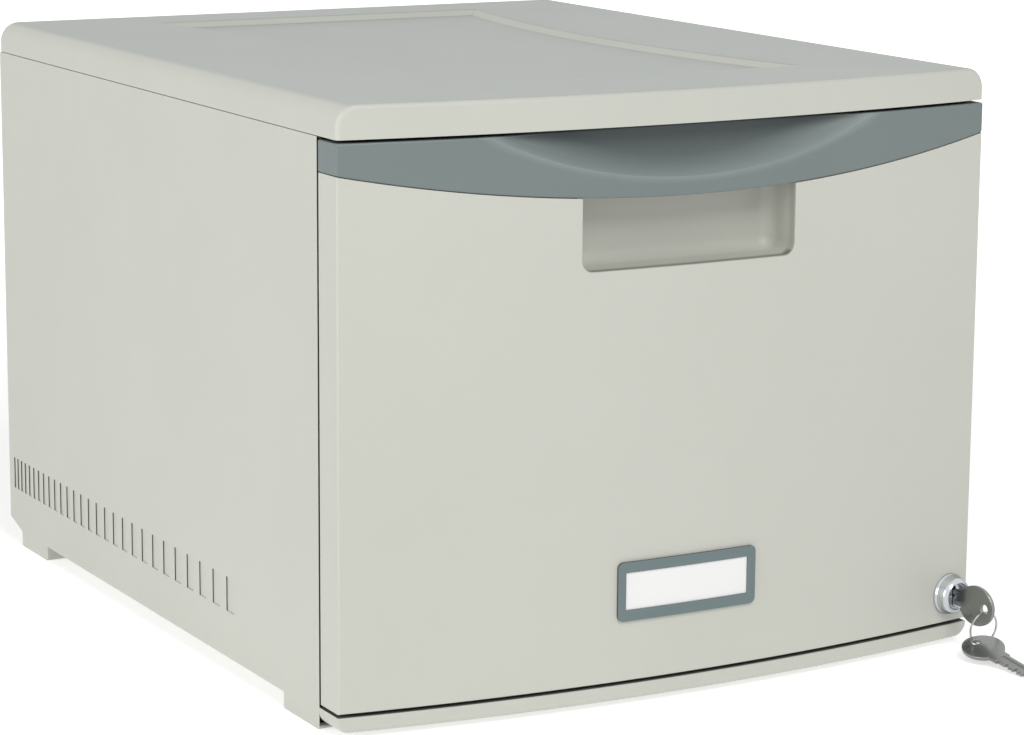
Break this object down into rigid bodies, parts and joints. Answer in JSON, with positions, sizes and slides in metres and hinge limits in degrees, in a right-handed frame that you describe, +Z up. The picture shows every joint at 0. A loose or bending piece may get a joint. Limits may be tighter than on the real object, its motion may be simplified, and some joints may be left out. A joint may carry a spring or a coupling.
{
  "type": "desktop file drawer",
  "caption": "Desktop file drawer: a bow-fronted drawer on roller slides in a plain case with a tray top, scooped hand grip, label holder, and a keyed cam lock with keys on a ring.",
  "frame": {"origin": "on the desk plane under the feet, in the case's middle plane and near its middle from front to back", "axes": "+X to the right seen from the front, -Y towards the drawer front, +Z up"},
  "size_m": [0.3766, 0.5185, 0.311],
  "materials": {
    "case": "light grey moulded plastic, fine grain",
    "front": "light grey moulded plastic, fine grain",
    "tub": "light grey moulded plastic, smooth",
    "band": "grey-green moulded plastic, satin",
    "label_frame": "grey moulded plastic, satin",
    "card": "white card",
    "slide": "white epoxy-coated steel",
    "roller": "white nylon",
    "screw": "zinc-plated steel",
    "lock": "nickel-plated, polished",
    "lock_works": "zinc-plated steel",
    "key": "nickel-plated, worn",
    "ring": "bright steel wire"
  },
  "bodies": {
    "cabinet": {"top_panel": "case", "left_side_panel": "case", "right_side_panel": "case", "back_panel": "case", "bottom_panel": "case", "case_screws": "screw", "left_case_slide": "slide", "right_case_slide": "slide", "case_slide_screws": "screw", "front_roller_axles": "screw"},
    "drawer": {"drawer_tub": "tub", "drawer_front": "front", "front_screws": "screw", "handle_band": "band", "label_frame": "label_frame", "label_card": "card", "lock_housing": "lock", "lock_clip": "lock_works", "left_drawer_slide": "slide", "right_drawer_slide": "slide", "drawer_slide_screws": "screw", "rear_roller_axles": "screw"},
    "left_front_roller": {"left_front_roller": "roller"},
    "right_front_roller": {"right_front_roller": "roller"},
    "left_rear_roller": {"left_rear_roller": "roller"},
    "right_rear_roller": {"right_rear_roller": "roller"},
    "lock_plug": {"lock_plug": "lock", "lock_cam": "lock_works", "cam_screw": "screw"},
    "key": {"key": "key"},
    "key_ring": {"key_ring": "ring"},
    "spare_key": {"spare_key": "key"}
  },
  "joints": [
    {"name": "drawer_slide", "type": "slide", "parent": "cabinet", "child": "drawer", "axis": [0, -1, 0], "range_m": [0, 0.3]},
    {"name": "left_front_roller_spin", "type": "hinge", "parent": "cabinet", "child": "left_front_roller", "pos_m": [-0.1766, -0.178, 0.148], "axis": [1, 0, 0], "range_deg": [-5, 1725]},
    {"name": "right_front_roller_spin", "type": "hinge", "parent": "cabinet", "child": "right_front_roller", "pos_m": [0.1766, -0.178, 0.148], "axis": [1, 0, 0], "range_deg": [-5, 1725]},
    {"name": "left_rear_roller_spin", "type": "hinge", "parent": "drawer", "child": "left_rear_roller", "pos_m": [-0.1766, 0.198, 0.15005], "axis": [1, 0, 0], "range_deg": [-5, 1725]},
    {"name": "right_rear_roller_spin", "type": "hinge", "parent": "drawer", "child": "right_rear_roller", "pos_m": [0.1766, 0.198, 0.15005], "axis": [1, 0, 0], "range_deg": [-5, 1725]},
    {"name": "lock_turn", "type": "hinge", "parent": "drawer", "child": "lock_plug", "pos_m": [0.1745, -0.2169, 0.029], "axis": [0.1583, -0.9874, 0], "range_deg": [0, 90]},
    {"name": "key_pull", "type": "slide", "parent": "lock_plug", "child": "key", "axis": [0.1583, -0.9874, 0], "range_m": [0, 0.03]},
    {"name": "ring_swing", "type": "hinge", "parent": "key", "child": "key_ring", "pos_m": [0.17884, -0.24395, 0.02459], "axis": [0.9974, 0.0716, 0], "range_deg": [-60, 30]},
    {"name": "spare_key_swing", "type": "hinge", "parent": "key_ring", "child": "spare_key", "pos_m": [0.17452, -0.24278, 0.00771], "axis": [0.8777, 0.104, -0.4677], "range_deg": [-55, 60]}
  ],
  "couplings": [
    {"joint": "left_front_roller_spin", "follows": "drawer_slide", "rad_per_m": 100},
    {"joint": "right_front_roller_spin", "follows": "drawer_slide", "rad_per_m": 100},
    {"joint": "left_rear_roller_spin", "follows": "drawer_slide", "rad_per_m": 100},
    {"joint": "right_rear_roller_spin", "follows": "drawer_slide", "rad_per_m": 100}
  ]
}
